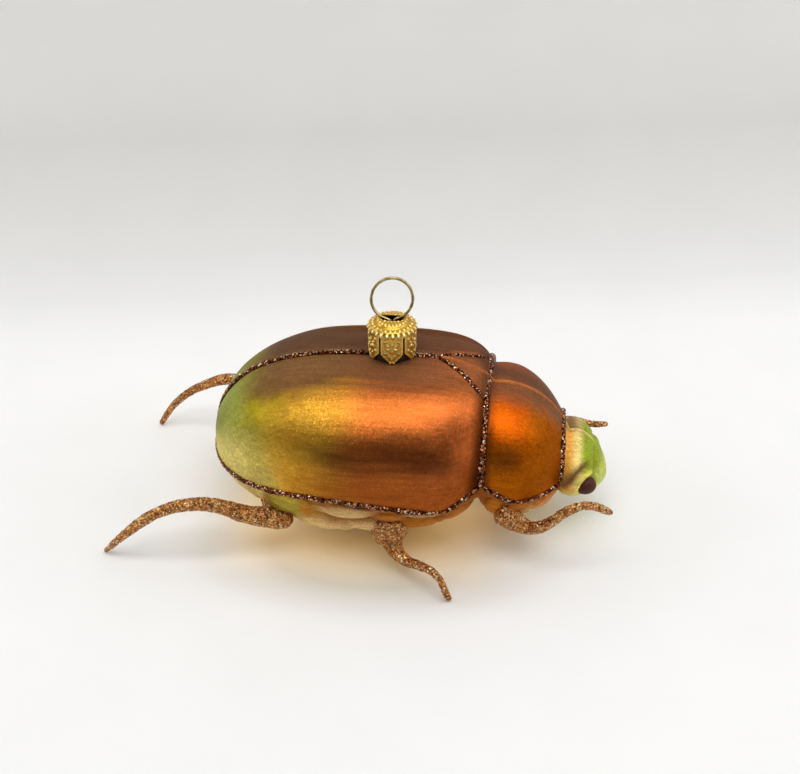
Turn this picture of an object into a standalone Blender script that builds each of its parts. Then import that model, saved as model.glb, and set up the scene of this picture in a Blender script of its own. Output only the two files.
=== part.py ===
"""Blown-glass beetle hanging ornament, standing on its own legs.

Metres, +Z up. +X runs from the tail to the head and the beetle's left side is +Y. The floor that
the feet stand on is Z 0. The shape constants are in millimetres and MM turns them into metres.
"""
import math

import bmesh
import bpy
from mathutils import Vector

MM = 0.001
CLEARANCE = 0.3  # gap kept between neighbouring pieces
CENTRE_X = 1.05  # middle of the whole length, moved to X 0 by the parent empty

# Glass body: three bulbs blended together. Each swelling is its greatest size, the x where it is
# greatest, and the power of its fall toward the tail and toward the nose. The squareness is the
# power of the section above and below the rim.
TAIL_X, WAIST_X, NECK_X, NOSE_X = -35.5, 30.6, 48.6, 60.1
ABDOMEN = {
    "tail": TAIL_X,
    "nose": 33.0,
    "width": (26.9, 2.5, 2.1, 3.3),
    "rise": (26.0, 2.0, 2.35, 5.6),
    "drop": (15.2, 6.0, 2.05, 1.65),
    "squareness": (2.62, 2.12),
    "rim": 0.8,
}
COLLAR = {
    "tail": 26.0,
    "nose": 51.6,
    "width": (19.8, 37.4, 2.8, 1.6),
    "rise": (20.3, 32.8, 2.4, 2.1),
    "drop": (12.5, 34.0, 1.25, 1.4),
    "squareness": (2.35, 2.35),
    "rim": 0.7,
}
HEAD = {
    "tail": 44.9,
    "nose": NOSE_X,
    "width": (11.8, 51.5, 1.6, 1.6),
    "rise": (9.4, 52.5, 1.6, 1.73),
    "drop": (8.0, 48.8, 2.0, 1.2),
    "squareness": (2.5, 1.7),
    "rim": 0.0,
}
BULBS = (ABDOMEN, COLLAR, HEAD)
BLEND_POWER = 22
RIM_Z = 18.4  # height of the wing-case rim, and of the section axis
HEAD_DROOP = 5.2
GLASS_WALL = 1.0
OUTER_AROUND, OUTER_STEPS = 36, (18, 8, 8)
INNER_AROUND, INNER_STEPS = 20, (10, 4, 4)

# Eyes moulded in the glass
EYE_CENTRE = (54.4, 9.3, 15.9)
EYE_RADIUS = 2.45

# Neck stub of the glass, the cap over it and the wire ring
CAP_X = 7.8
NECK_STUB_RADIUS, NECK_BORE_RADIUS = 4.7, 3.8
NECK_STUB_BOTTOM, NECK_STUB_TOP = 42.8, 51.2
CAP_PROFILE = (  # radius and height, from the middle of the boss down its outer side and back
    (0.0, 53.8),
    (2.4, 53.65),
    (3.6, 53.25),
    (3.95, 52.75),
    (4.25, 52.5),
    (4.75, 52.65),
    (5.2, 52.35),
    (5.45, 51.7),
    (5.45, 44.6),
    (5.0, 44.6),
    (5.0, 51.5),
    (4.6, 52.05),
    (3.6, 52.15),
    (3.2, 52.8),
    (0.0, 53.3),
)
CAP_SIDES = 36
TONGUES = 6
TONGUE_SLOT = 0.36
TONGUE_SLOT_TOP, TONGUE_SHOULDER, TONGUE_TIP = 51.0, 46.9, 44.6
CAP_TURN = math.radians(4.4)
WIRE_SLOT_LENGTH, WIRE_SLOT_WIDTH = 5.8, 1.8
WIRE_RADIUS = 0.35
RING_RADIUS = 4.75
RING_LEAN = math.radians(30)
RING_PIVOT_Z = 53.4
RING_LIFT = 0.2
RING_OPENING = math.radians(15)
RING_STEPS = 26
WIRE_TAIL = ((3.0, 46.0), (2.4, 48.0), (1.5, 50.0), (0.65, 52.0), (0.52, 53.2))

# Legs: centre line from the foot to the body, as x, distance from the middle plane, z, diameter.
# Each leg was shaped by hand, so the left and right ones differ a little.
REAR_RIGHT = (
    (-58.9, 26.1, 0.3, 1.1),
    (-54.3, 27.3, 5.8, 1.9),
    (-49.1, 27.1, 10.7, 2.5),
    (-44.1, 26.8, 14.2, 2.6),
    (-38.5, 26.5, 16.4, 3.0),
    (-33.1, 25.2, 16.1, 3.2),
    (-28.8, 24.2, 14.5, 3.6),
    (-25.6, 23.2, 12.4, 4.1),
    (-22.0, 22.6, 11.3, 4.6),
    (-18.4, 22.2, 10.8, 5.1),
    (-15.8, 22.1, 10.4, 4.5),
    (-14.1, 22.1, 10.1, 2.8),
    (-13.5, 22.1, 10.0, 1.0),
)
REAR_LEFT = (
    (-58.8, 26.1, 0.3, 1.4),
    (-55.0, 27.2, 6.2, 1.8),
    (-50.0, 27.1, 11.0, 2.1),
    (-44.4, 26.8, 14.4, 2.5),
) + REAR_RIGHT[4:]
MIDDLE = (
    (24.4, 35.2, 0.2, 1.1),
    (23.6, 34.9, 1.9, 1.5),
    (22.8, 34.5, 3.5, 1.6),
    (22.1, 33.9, 5.0, 1.6),
    (21.1, 33.2, 5.8, 1.6),
    (19.9, 32.3, 6.3, 1.8),
    (18.2, 31.0, 6.1, 1.9),
    (16.3, 29.5, 5.5, 2.2),
    (14.5, 28.0, 4.7, 2.5),
    (12.4, 26.3, 4.7, 3.1),
    (10.8, 24.6, 5.4, 3.9),
    (9.7, 22.9, 6.9, 5.6),
    (9.2, 22.4, 8.9, 8.2),
    (9.2, 22.4, 11.6, 8.6),
    (9.2, 22.2, 13.6, 5.0),
)
FRONT_RIGHT = (
    (60.5, 17.3, 14.4, 1.2),
    (58.2, 19.0, 16.6, 1.9),
    (56.2, 20.0, 18.1, 2.0),
    (53.7, 21.0, 19.0, 1.9),
    (51.6, 21.8, 18.7, 2.1),
    (49.3, 22.3, 17.6, 2.2),
    (47.2, 22.3, 15.4, 2.4),
    (44.9, 21.5, 12.7, 2.7),
    (42.7, 20.0, 10.6, 3.1),
    (40.7, 18.9, 10.0, 3.7),
    (38.5, 18.5, 11.0, 4.8),
    (36.3, 18.8, 12.8, 5.6),
    (34.2, 18.7, 14.0, 4.6),
)
FRONT_LEFT = (
    (61.1, 17.3, 15.0, 1.2),
    (58.7, 18.2, 14.1, 1.6),
    (56.3, 19.0, 13.6, 1.8),
    (53.7, 20.2, 13.4, 1.9),
    (51.6, 21.0, 13.0, 2.1),
    (49.3, 21.4, 12.3, 2.2),
    (47.2, 21.2, 11.5, 2.4),
    (44.9, 20.4, 10.7, 2.7),
    (42.7, 19.4, 10.2, 3.1),
) + FRONT_RIGHT[9:]
LEGS = {
    "front_left": FRONT_LEFT,
    "front_right": FRONT_RIGHT,
    "middle_left": MIDDLE,
    "middle_right": MIDDLE,
    "rear_left": REAR_LEFT,
    "rear_right": REAR_RIGHT,
}
LEG_POINTS_PER_SPAN = 2

# Glitter lines laid on the glass
BEAD_RADIUS = 0.5
BEAD_STEP = 3.0
RIM_ANGLE = math.radians(1)
NECK_LINE_X = NECK_X - 0.5
SHIELD_APEX_X, SHIELD_HALF_WIDTH = 18.6, 7.0

LACQUERS = {  # colour, roughness, metallic
    "painted_glass": ((0.42, 0.22, 0.07, 1.0), 0.35, 0.5),
    "gold_foil": ((0.85, 0.62, 0.22, 1.0), 0.28, 1.0),
    "brass_wire": ((0.5, 0.4, 0.22, 1.0), 0.35, 1.0),
    "copper_glitter": ((0.36, 0.17, 0.07, 1.0), 0.55, 0.6),
    "dark_glitter": ((0.16, 0.07, 0.05, 1.0), 0.55, 0.5),
}


def clear_scene():
    for item in list(bpy.data.objects):
        bpy.data.objects.remove(item, do_unlink=True)


def make_collection(name):
    collection = bpy.data.collections.new(name)
    bpy.context.scene.collection.children.link(collection)
    return collection


def make_material(name):
    colour, roughness, metallic = LACQUERS[name]
    material = bpy.data.materials.new(name)
    material.use_nodes = True
    shader = material.node_tree.nodes["Principled BSDF"]
    shader.inputs["Base Color"].default_value = colour
    shader.inputs["Roughness"].default_value = roughness
    shader.inputs["Metallic"].default_value = metallic
    return material


def add_object(name, data, collection, material=None):
    item = bpy.data.objects.new(name, data)
    collection.objects.link(item)
    if material:
        data.materials.append(material)
    return item


def add_cutter(name, mesh):
    item = add_object(name, mesh, CUTTERS)
    item.hide_render = True
    item.display_type = "WIRE"
    item.parent = ROOT
    return item


def combine(item, other, operation):
    change = item.modifiers.new(f"{operation.lower()}_{other.name}", "BOOLEAN")
    change.operation = operation
    change.solver = "EXACT"
    change.object = other


# Surface of the glass body

def section_height(x):
    """Height of the section axis, which is also the height of the rim."""
    return RIM_Z - HEAD_DROOP * max(0.0, (x - WAIST_X) / (NOSE_X - WAIST_X)) ** 2


def swelling(x, bulb, direction):
    greatest, middle, tail_power, nose_power = bulb[direction]
    end, power = (bulb["tail"], tail_power) if x < middle else (bulb["nose"], nose_power)
    share = (x - middle) / (end - middle)
    return greatest * (1 - share**power) ** (1 / power) if share < 1 else 0.0


def reach(x, angle, rim=True):
    """Distance from the axis to the glass at x. Angle 0 is the left side and 90 degrees is up."""
    upper = math.sin(angle) > -1e-6
    across, along = abs(math.cos(angle)), abs(math.sin(angle))
    total = 0.0
    for bulb in BULBS:
        width = swelling(x, bulb, "width")
        height = swelling(x, bulb, "rise" if upper else "drop")
        if width < 0.01 or height < 0.01:
            continue
        if rim and not upper:
            width -= bulb["rim"] * min(1.0, width / 10)
        power = bulb["squareness"][0 if upper else 1]
        total += ((across / width) ** power + (along / height) ** power) ** (-BLEND_POWER / power)
    return total ** (1 / BLEND_POWER)


def surface_point(x, angle, rim=True):
    distance = reach(x, angle, rim)
    return Vector((x, distance * math.cos(angle), section_height(x) + distance * math.sin(angle)))


def surface_normal(x, angle):
    step_x, step_angle = 0.05, 0.01
    first_x, last_x = max(TAIL_X + 0.001, x - step_x), min(NOSE_X - 0.001, x + step_x)
    lengthwise = surface_point(last_x, angle, False) - surface_point(first_x, angle, False)
    around = surface_point(x, angle + step_angle, False) - surface_point(x, angle - step_angle, False)
    return around.cross(lengthwise).normalized()


def offset_point(x, angle, distance, rim=True):
    return surface_point(x, angle, rim) + surface_normal(x, angle) * distance


def eased_values(first, last, count):
    """Values from first to last, closer together at both ends."""
    half = (last - first) / 2
    return [first + half * (1 - math.cos(math.pi * i / count)) for i in range(count + 1)]


def body_stations(steps):
    abdomen, collar, head = steps
    stations = eased_values(TAIL_X, WAIST_X, abdomen)[1:]
    stations += eased_values(WAIST_X, NECK_X, collar)[1:]
    return stations + eased_values(NECK_X, NOSE_X, head)[1:-1]


def lofted_mesh(name, around, steps, distance, rim):
    """Closed loft along x, its surface moved out by distance from the glass's outer side."""
    rows = []
    for x in body_stations(steps):
        angles = [2 * math.pi * i / around for i in range(around)]
        rows.append([offset_point(x, angle, distance, rim) for angle in angles])
    tail = Vector((TAIL_X - distance, 0, section_height(TAIL_X)))
    nose = Vector((NOSE_X + distance, 0, section_height(NOSE_X)))
    points = [tail] + [point for row in rows for point in row] + [nose]
    faces = []
    for i in range(around):
        beside = (i + 1) % around
        faces.append((0, 1 + beside, 1 + i))
        for row in range(len(rows) - 1):
            here, ahead = 1 + row * around, 1 + (row + 1) * around
            faces.append((here + i, here + beside, ahead + beside, ahead + i))
        last_row = 1 + (len(rows) - 1) * around
        faces.append((len(points) - 1, last_row + i, last_row + beside))
    mesh = bpy.data.meshes.new(name)
    mesh.from_pydata([point * MM for point in points], [], faces)
    mesh.shade_smooth()
    return mesh


# Shared shape helpers

def cylinder_mesh(name, radius, bottom, top, sides):
    shape = bmesh.new()
    bmesh.ops.create_cone(
        shape, cap_ends=True, segments=sides, radius1=radius * MM, radius2=radius * MM, depth=(top - bottom) * MM
    )
    bmesh.ops.translate(shape, verts=shape.verts, vec=(CAP_X * MM, 0, (top + bottom) / 2 * MM))
    return finished_mesh(name, shape)


def prism_mesh(name, outline, depth):
    """Prism from an outline in the YZ plane, reaching from the origin along +X by depth."""
    shape = bmesh.new()
    corners = [shape.verts.new((0, y * MM, z * MM)) for y, z in outline]
    face = shape.faces.new(corners)
    grown = bmesh.ops.extrude_face_region(shape, geom=[face])
    moved = [part for part in grown["geom"] if isinstance(part, bmesh.types.BMVert)]
    bmesh.ops.translate(shape, verts=moved, vec=(depth * MM, 0, 0))
    bmesh.ops.recalc_face_normals(shape, faces=shape.faces)
    return finished_mesh(name, shape)


def finished_mesh(name, shape):
    mesh = bpy.data.meshes.new(name)
    shape.to_mesh(mesh)
    shape.free()
    return mesh


def smooth_path(points, per_span):
    """Extra points on a smooth curve through the given ones (Catmull-Rom)."""
    path = []
    for i in range(len(points) - 1):
        before, start = points[max(i - 1, 0)], points[i]
        end, after = points[i + 1], points[min(i + 2, len(points) - 1)]
        for j in range(per_span):
            t = j / per_span
            path.append(tuple(
                0.5 * (2 * b + (c - a) * t + (2 * a - 5 * b + 4 * c - d) * t**2 + (3 * b - a - 3 * c + d) * t**3)
                for a, b, c, d in zip(before, start, end, after)
            ))
    return path + [points[-1]]


def tube(name, points, radius, material, resolution=2):
    """Capped tube along points of x, y, z and, where given, its own diameter."""
    curve = bpy.data.curves.new(name, "CURVE")
    curve.dimensions = "3D"
    curve.bevel_depth = radius * MM
    curve.bevel_resolution = resolution
    curve.use_fill_caps = True
    spline = curve.splines.new("POLY")
    spline.points.add(len(points) - 1)
    for target, point in zip(spline.points, points):
        target.co = (point[0] * MM, point[1] * MM, point[2] * MM, 1)
        target.radius = point[3] / 2 / radius if len(point) > 3 else 1.0
    item = add_object(name, curve, PARTS, material)
    item.parent = ROOT
    return item


def as_mesh(item):
    """Replaces a curve object by a mesh object of the same name, with its caps welded on."""
    bpy.context.view_layer.update()
    graph = bpy.context.evaluated_depsgraph_get()
    mesh = bpy.data.meshes.new_from_object(item.evaluated_get(graph))
    shape = bmesh.new()
    shape.from_mesh(mesh)
    bmesh.ops.remove_doubles(shape, verts=shape.verts, dist=0.00001)
    bmesh.ops.recalc_face_normals(shape, faces=shape.faces)
    shape.to_mesh(mesh)
    shape.free()
    name = item.name
    bpy.data.objects.remove(item, do_unlink=True)
    solid = bpy.data.objects.new(name, mesh)
    PARTS.objects.link(solid)
    solid.parent = ROOT
    mesh.shade_smooth()
    return solid


# Pieces

def build_glass_body(material):
    outer = lofted_mesh("glass_body", OUTER_AROUND, OUTER_STEPS, 0.0, True)
    body = add_object("glass_body", outer, PARTS, material)
    body.parent = ROOT
    for side, sign in (("left", 1), ("right", -1)):
        combine(body, eye_bulge(side, sign), "UNION")
    stub = cylinder_mesh("neck_stub", NECK_STUB_RADIUS, NECK_STUB_BOTTOM, NECK_STUB_TOP, 32)
    combine(body, add_cutter("neck_stub", stub), "UNION")
    hollow = lofted_mesh("hollow", INNER_AROUND, INNER_STEPS, -GLASS_WALL, False)
    combine(body, add_cutter("hollow", hollow), "DIFFERENCE")
    bore = cylinder_mesh("neck_bore", NECK_BORE_RADIUS, NECK_STUB_BOTTOM - 4, NECK_STUB_TOP + 4, 32)
    combine(body, add_cutter("neck_bore", bore), "DIFFERENCE")
    return body


def eye_bulge(side, sign):
    shape = bmesh.new()
    bmesh.ops.create_uvsphere(shape, u_segments=14, v_segments=9, radius=EYE_RADIUS * MM)
    x, y, z = EYE_CENTRE
    bmesh.ops.translate(shape, verts=shape.verts, vec=(x * MM, sign * y * MM, z * MM))
    return add_cutter(f"eye_bulge_{side}", finished_mesh(f"eye_bulge_{side}", shape))


def build_cap(material):
    mesh = bpy.data.meshes.new("cap")
    points = [(radius * MM, 0, height * MM) for radius, height in CAP_PROFILE]
    mesh.from_pydata(points, [(i, i + 1) for i in range(len(points) - 1)], [])
    cap = add_object("cap", mesh, PARTS, material)
    cap.parent = ROOT
    cap.location = (CAP_X * MM, 0, 0)
    screw = cap.modifiers.new("turned", "SCREW")
    screw.steps = CAP_SIDES
    screw.render_steps = CAP_SIDES
    screw.use_merge_vertices = True
    screw.merge_threshold = 0.00001
    screw.use_smooth_shade = True
    notch = prism_mesh("tongue_notch", tongue_notch_outline(), 3.0)
    for i in range(TONGUES):
        angle = math.tau * i / TONGUES + CAP_TURN
        cutter = add_cutter(f"tongue_notch_{i + 1}", notch)
        cutter.location = (CAP_X * MM + 3.5 * MM * math.cos(angle), 3.5 * MM * math.sin(angle), 0)
        cutter.rotation_euler = (0, 0, angle)
        combine(cap, cutter, "DIFFERENCE")
    combine(cap, wire_slot(), "DIFFERENCE")
    return cap


def tongue_notch_outline():
    """Thin slot between two tongues, opening below into the gap between their points."""
    half_slot = TONGUE_SLOT / 2
    half_pitch = 5.45 * math.tan(math.pi / TONGUES) - 0.25
    below = TONGUE_TIP - 1
    return (
        (-half_slot, TONGUE_SLOT_TOP),
        (-half_slot, TONGUE_SHOULDER),
        (-half_pitch, TONGUE_TIP),
        (-half_pitch, below),
        (half_pitch, below),
        (half_pitch, TONGUE_TIP),
        (half_slot, TONGUE_SHOULDER),
        (half_slot, TONGUE_SLOT_TOP),
    )


def wire_slot():
    """Slot with round ends through the top of the cap."""
    shape = bmesh.new()
    half, radius = (WIRE_SLOT_LENGTH - WIRE_SLOT_WIDTH) / 2, WIRE_SLOT_WIDTH / 2
    corners = []
    for i in range(16):
        angle = -math.pi / 2 + math.pi * (i % 8) / 7 + math.pi * (i // 8)
        centre = half if i < 8 else -half
        x, y = CAP_X + centre + radius * math.cos(angle), radius * math.sin(angle)
        corners.append(shape.verts.new((x * MM, y * MM, 51.5 * MM)))
    face = shape.faces.new(corners)
    grown = bmesh.ops.extrude_face_region(shape, geom=[face])
    moved = [part for part in grown["geom"] if isinstance(part, bmesh.types.BMVert)]
    bmesh.ops.translate(shape, verts=moved, vec=(0, 0, 4 * MM))
    bmesh.ops.recalc_face_normals(shape, faces=shape.faces)
    return add_cutter("wire_slot", finished_mesh("wire_slot", shape))


def ring_path():
    """Wire from inside the neck, up through the slot, round the leaning ring and back down."""
    centre = RING_LIFT + RING_RADIUS
    first, last = -math.pi / 2 + RING_OPENING, 1.5 * math.pi - RING_OPENING
    loop = []
    for i in range(RING_STEPS + 1):
        angle = first + (last - first) * i / RING_STEPS
        across, up = RING_RADIUS * math.cos(angle), centre + RING_RADIUS * math.sin(angle)
        height = RING_PIVOT_Z + up * math.cos(RING_LEAN)
        loop.append((CAP_X + across, up * math.sin(RING_LEAN), height))
    start = [(CAP_X + across, 0, height) for across, height in WIRE_TAIL]
    end = [(CAP_X - across, 0, height) for across, height in reversed(WIRE_TAIL)]
    return start + loop + end


def build_hanger_ring(material):
    return tube("hanger_ring", ring_path(), WIRE_RADIUS, material)


def build_legs(material):
    skin = lofted_mesh("leg_seat", OUTER_AROUND, OUTER_STEPS, CLEARANCE, False)
    seat = add_cutter("leg_seat", skin)
    floor_shape = bmesh.new()
    bmesh.ops.create_cube(floor_shape, size=0.2)
    bmesh.ops.translate(floor_shape, verts=floor_shape.verts, vec=(0, 0, -0.1))
    floor = add_cutter("floor", finished_mesh("floor", floor_shape))
    for place, points in LEGS.items():
        sign = 1 if place.endswith("left") else -1
        sided = [(x, sign * y, z, diameter) for x, y, z, diameter in points]
        path = smooth_path(sided, LEG_POINTS_PER_SPAN)
        leg = as_mesh(tube(f"leg_{place}", path, 1.0, material))
        combine(leg, seat, "DIFFERENCE")
        if not place.startswith("front"):
            combine(leg, floor, "DIFFERENCE")


def bead(name, places, material):
    """Glitter line whose bead lies just off the glass at the given x and angle pairs."""
    lift = BEAD_RADIUS + CLEARANCE
    tube(name, [tuple(offset_point(x, angle, lift)) for x, angle in places], BEAD_RADIUS, material, 1)


def spread(first, last, step=BEAD_STEP):
    count = max(2, round(abs(last - first) / step))
    return [first + (last - first) * i / count for i in range(count + 1)]


def build_glitter_lines(material):
    top, left, right = math.pi / 2, RIM_ANGLE, math.pi - RIM_ANGLE
    gap = 2 * BEAD_RADIUS + CLEARANCE
    cap_reach = 5.45 + gap
    tail_end = [TAIL_X + rise for rise in (0.7, 1.6, 3.2, 5.4)]
    rear_run = tail_end + spread(TAIL_X + 8, CAP_X - cap_reach)
    bead("back_seam_glitter_rear", [(x, top) for x in rear_run], material)
    front_run = spread(CAP_X + cap_reach, SHIELD_APEX_X - gap)
    bead("back_seam_glitter_front", [(x, top) for x in front_run], material)
    shield_end = WAIST_X - 2 * gap
    for side, sign in (("left", -1), ("right", 1)):
        run = []
        for x in spread(SHIELD_APEX_X, shield_end):
            share = (x - SHIELD_APEX_X) / (shield_end - SHIELD_APEX_X)
            out = gap / 2 + SHIELD_HALF_WIDTH * share
            run.append((x, top + sign * math.asin(out / reach(x, top))))
        bead(f"shield_glitter_{side}", run, material)
    waist_angles = spread(left + 0.09, right - 0.09, 0.13)
    bead("waist_glitter", [(WAIST_X, angle) for angle in waist_angles], material)
    neck_angles = spread(left + 0.12, right - 0.12, 0.17)
    bead("neck_glitter", [(NECK_LINE_X, angle) for angle in neck_angles], material)
    wing_run = [TAIL_X + rise for rise in (0.05, 0.7, 2.0, 4.0)] + spread(TAIL_X + 6.5, WAIST_X - 1.0)
    collar_run = spread(WAIST_X + 1.6, NECK_X - 1.2)
    for side, angle in (("left", left), ("right", right)):
        bead(f"wing_edge_glitter_{side}", [(x, angle) for x in wing_run], material)
        bead(f"collar_edge_glitter_{side}", [(x, angle) for x in collar_run], material)


clear_scene()
PARTS = make_collection("beetle_ornament")
CUTTERS = make_collection("cutters")
ROOT = bpy.data.objects.new("ornament", None)
PARTS.objects.link(ROOT)
ROOT.location = (-CENTRE_X * MM, 0, 0)
build_glass_body(make_material("painted_glass"))
build_cap(make_material("gold_foil"))
build_hanger_ring(make_material("brass_wire"))
build_legs(make_material("copper_glitter"))
build_glitter_lines(make_material("dark_glitter"))
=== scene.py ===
"""Looks of the blown-glass beetle hanging ornament.

The shape constants are in millimetres in the part's own modelling frame, where the cap's axis is
at CAP_X. place() turns such points into metres in the frame, whose origin is CENTRE_X further on.
"""
import math

import bpy
import numpy as np
from mathutils import Matrix, Vector, noise


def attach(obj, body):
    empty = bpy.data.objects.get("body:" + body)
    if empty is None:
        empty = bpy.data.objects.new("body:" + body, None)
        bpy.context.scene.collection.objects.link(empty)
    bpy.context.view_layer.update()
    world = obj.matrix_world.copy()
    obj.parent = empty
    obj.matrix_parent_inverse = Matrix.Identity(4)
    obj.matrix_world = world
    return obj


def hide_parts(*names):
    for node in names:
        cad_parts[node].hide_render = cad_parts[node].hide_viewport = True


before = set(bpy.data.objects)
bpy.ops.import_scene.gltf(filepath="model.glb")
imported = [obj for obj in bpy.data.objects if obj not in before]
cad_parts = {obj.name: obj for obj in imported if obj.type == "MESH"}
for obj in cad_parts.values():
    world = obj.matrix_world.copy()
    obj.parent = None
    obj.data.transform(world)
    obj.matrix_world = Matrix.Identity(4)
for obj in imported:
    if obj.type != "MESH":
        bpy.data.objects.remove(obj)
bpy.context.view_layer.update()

MM = 0.001
CENTRE_X = 1.05

# Glass body: the same three bulbs as the solid, with the same meaning of each value
TAIL_X, WAIST_X, NECK_X, NOSE_X = -35.5, 30.6, 48.6, 60.1
ABDOMEN = {
    "tail": TAIL_X,
    "nose": 33.0,
    "width": (26.9, 2.5, 2.1, 3.3),
    "rise": (26.0, 2.0, 2.35, 5.6),
    "drop": (15.2, 6.0, 2.05, 1.65),
    "squareness": (2.62, 2.12),
    "rim": 0.8,
}
COLLAR = {
    "tail": 26.0,
    "nose": 51.6,
    "width": (19.8, 37.4, 2.8, 1.6),
    "rise": (20.3, 32.8, 2.4, 2.1),
    "drop": (12.5, 34.0, 1.25, 1.4),
    "squareness": (2.35, 2.35),
    "rim": 0.7,
}
HEAD = {
    "tail": 44.9,
    "nose": NOSE_X,
    "width": (11.8, 51.5, 1.6, 1.6),
    "rise": (9.4, 52.5, 1.6, 1.73),
    "drop": (8.0, 48.8, 2.0, 1.2),
    "squareness": (2.5, 1.7),
    "rim": 0.0,
}
BULBS = (ABDOMEN, COLLAR, HEAD)
BLEND_POWER = 22
RIM_Z = 18.4
HEAD_DROOP = 5.2
WAIST_SKEW = 0.035
RIM_SOFTNESS = math.radians(2.5)
BODY_STEPS, BODY_AROUND = (150, 58, 62), 290

# Moulded details. A lobe has its middle's x and z, half length, half height, lift and paint, and
# a leg's seat has its middle and its size.
SHIELD_APEX_X, SHIELD_HALF_WIDTH, SHIELD_END_X = 18.6, 6.8, 29.6
SEAM_Y = -0.8
EYE_CENTRE, EYE_RADIUS = (54.4, 9.3, 15.9), 2.45
EYE_STRETCH = (1.12, 0.95, 0.95)
BELLY_SEAMS = (-27.0, -21.5, -16.0, -10.5, -5.0)
BELLY_LOBES = (
    (-14.0, 16.2, 7.0, 3.8, 0.6, "moss"),
    (-9.6, 16.4, 1.7, 2.4, 0.4, "spot"),
    (-0.4, 17.0, 6.2, 1.9, 0.8, "pearl"),
    (-6.5, 11.4, 6.6, 2.8, 1.8, "pearl"),
    (4.0, 11.4, 5.4, 2.8, 0.9, "pearl"),
    (9.5, 15.6, 3.6, 1.4, 0.4, "glow"),
    (17.0, 16.6, 4.4, 0.9, 0.4, "tan"),
    (16.4, 13.0, 4.6, 2.4, 0.7, "spot"),
    (24.5, 14.0, 3.8, 2.8, 0.7, "glow"),
    (33.6, 14.4, 2.4, 3.2, 0.5, "spot"),
    (39.5, 15.6, 3.4, 1.8, 0.5, "glow"),
    (45.2, 13.8, 2.8, 2.4, 0.6, "glow"),
    (41.0, 11.2, 6.4, 2.4, 0.6, "pearl"),
)
LEG_SEATS = ((8.0, 17.0, 7.5, 4.5), (36.5, 14.5, 9.5, 4.0), (-17.0, 19.0, 10.0, 4.5))

# Cap and ring
CAP_X = 7.8
CAP_RADIUS, CAP_WALL = 5.45, 0.4
SHOULDER_Z = 51.8
BOSS_OUTLINE = ((2.0, 53.6), (2.6, 53.7), (3.3, 53.5), (3.85, 52.95))
CROWN_OUTLINE = BOSS_OUTLINE + ((4.3, 52.7), (4.75, 52.7), (5.15, 52.45), (CAP_RADIUS, SHOULDER_Z))
CROWN_ROWS, SKIRT_ROWS, TONGUE_COLUMNS = 44, 74, 42
SHOULDER_BEADS, BOSS_DOTS, INNER_DOTS = 26, 22, 16
EMBOSSING_MIDDLE_Z = 48.9
NECK_GLASS_PROFILE = ((3.8, 44.0), (3.8, 51.2), (4.7, 51.2), (4.7, 43.5))
TONGUES = 6
TONGUE_SLOT = 0.36
TONGUE_SLOT_TOP, TONGUE_SHOULDER, TONGUE_TIP = 51.0, 46.9, 44.7
CAP_TURN = math.radians(4.4)
WIRE_SLOT_LENGTH, WIRE_SLOT_WIDTH = 5.8, 2.6
WIRE_RADIUS = 0.35
RING_RADIUS = 4.75
RING_LEAN = math.radians(30)
RING_PIVOT_Z = 53.0
RING_SHIFT = -0.3
RING_LIFT = 0.2
RING_OPENING = math.radians(15)
WIRE_TAIL = ((3.0, 46.0), (2.4, 48.0), (1.5, 50.0), (0.65, 51.8), (0.5, 52.8))

# Legs: x, distance from the middle plane, z and diameter, from the foot to the body
REAR_RIGHT = (
    (-58.9, 26.1, 0.5, 1.1),
    (-54.3, 27.3, 5.8, 1.9),
    (-49.1, 27.1, 10.7, 2.5),
    (-44.1, 26.8, 14.2, 2.6),
    (-38.5, 26.5, 16.4, 3.0),
    (-33.1, 25.2, 16.1, 3.2),
    (-28.8, 24.2, 14.5, 3.6),
    (-25.6, 23.2, 12.4, 4.1),
    (-22.0, 22.6, 11.3, 4.6),
    (-18.4, 22.2, 10.8, 5.1),
    (-15.4, 22.1, 10.4, 4.6),
    (-13.5, 22.1, 10.1, 2.8),
)
PEG = ((-18.4, 23.4, 11.4, 1.3), (-19.3, 23.4, 14.2, 1.2), (-20.3, 23.0, 17.4, 1.1))
REAR_LEFT = (
    (-58.8, 26.1, 0.6, 1.4),
    (-55.0, 27.2, 6.2, 1.8),
    (-50.0, 27.1, 11.0, 2.1),
    (-44.4, 26.8, 14.4, 2.5),
) + REAR_RIGHT[4:]
MIDDLE = (
    (24.4, 35.2, 0.5, 1.1),
    (23.6, 34.9, 1.9, 1.5),
    (22.8, 34.5, 3.5, 1.6),
    (22.1, 33.9, 5.0, 1.6),
    (21.1, 33.2, 5.8, 1.6),
    (19.9, 32.3, 6.3, 1.8),
    (18.2, 31.0, 6.1, 1.9),
    (16.3, 29.5, 5.5, 2.2),
    (14.5, 28.0, 4.7, 2.5),
    (12.4, 26.3, 4.7, 3.1),
    (10.8, 24.6, 5.4, 3.9),
    (9.7, 22.9, 6.9, 5.6),
    (9.2, 22.6, 8.9, 8.2),
    (9.3, 22.6, 14.8, 9.0),
)
FRONT_RIGHT = (
    (60.5, 17.3, 14.4, 1.2),
    (58.2, 19.0, 16.6, 1.9),
    (56.2, 20.0, 18.1, 2.0),
    (53.7, 21.0, 19.0, 1.9),
    (51.6, 21.8, 18.7, 2.1),
    (49.3, 22.3, 17.6, 2.2),
    (47.2, 22.3, 15.4, 2.4),
    (44.9, 21.5, 12.7, 2.7),
    (42.7, 20.0, 10.6, 3.1),
    (40.7, 18.9, 10.0, 3.7),
    (38.5, 18.5, 11.0, 4.8),
    (36.3, 18.8, 12.8, 5.6),
    (33.7, 18.7, 14.2, 5.2),
)
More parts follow.
